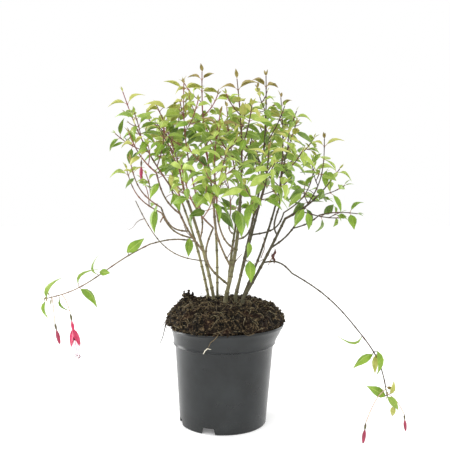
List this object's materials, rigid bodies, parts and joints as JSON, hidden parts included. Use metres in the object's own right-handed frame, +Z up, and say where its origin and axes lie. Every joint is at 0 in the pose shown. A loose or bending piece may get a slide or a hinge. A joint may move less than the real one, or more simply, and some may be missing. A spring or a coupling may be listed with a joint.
{
  "type": "potted hardy fuchsia",
  "caption": "Bushy hardy fuchsia with upright leafy shoots and two arching flowering shoots, in a round dark plastic nursery pot heaped with soil.",
  "frame": {"origin": "the middle of the pot's flat underside, which is the surface the pot stands on", "axes": "+Z up; the picture looks along +Y, with +X to its right"},
  "size_m": [0.4975, 0.3343, 0.5455],
  "materials": {
    "pot": "satin",
    "soil": "matte",
    "bark": "matte",
    "shoot_bark": "matte",
    "foliage": "matte"
  },
  "bodies": {
    "root": {"bough_arching_left": "shoot_bark", "bough_arching_right": "shoot_bark", "bough_back": "shoot_bark", "bough_back_left": "shoot_bark", "bough_back_right": "shoot_bark", "bough_elbow": "shoot_bark", "bough_far_right": "shoot_bark", "bough_front": "shoot_bark", "bough_front_left": "shoot_bark", "bough_front_right": "shoot_bark", "bough_left": "shoot_bark", "bough_left_inner": "shoot_bark", "bough_left_low": "shoot_bark", "bough_left_second": "shoot_bark", "bough_low_right": "shoot_bark", "bough_right_inner": "shoot_bark", "bough_weeping_right": "shoot_bark", "foliage_arching_left": "foliage", "foliage_back": "foliage", "foliage_back_left": "foliage", "foliage_back_low": "foliage", "foliage_back_low_left": "foliage", "foliage_back_low_right": "foliage", "foliage_back_right": "foliage", "foliage_centre": "foliage", "foliage_far_right": "foliage", "foliage_front": "foliage", "foliage_front_left": "foliage", "foliage_front_low_left": "foliage", "foliage_front_right": "foliage", "foliage_inner_left": "foliage", "foliage_inner_right": "foliage", "foliage_low_left": "foliage", "foliage_low_right": "foliage", "foliage_outer_right": "foliage", "foliage_second_left": "foliage", "foliage_tall_left": "foliage", "foliage_tall_right": "foliage", "foliage_top_left": "foliage", "foliage_upper_left": "foliage", "foliage_upper_right": "foliage", "foliage_weeping_right": "foliage", "leaf_spur_centre": "foliage", "leaf_spur_left": "foliage", "leaf_spur_low_centre": "foliage", "leaf_spur_outer_left": "foliage", "pot": "pot", "soil": "soil", "stem_back": "bark", "stem_back_left": "bark", "stem_back_right": "bark", "stem_centre": "bark", "stem_inner_right": "bark", "stem_left": "bark", "stem_right": "bark", "stem_tall_left": "bark", "stem_tall_right": "bark", "twig_bare_left": "shoot_bark"}
  },
  "joints": []
}
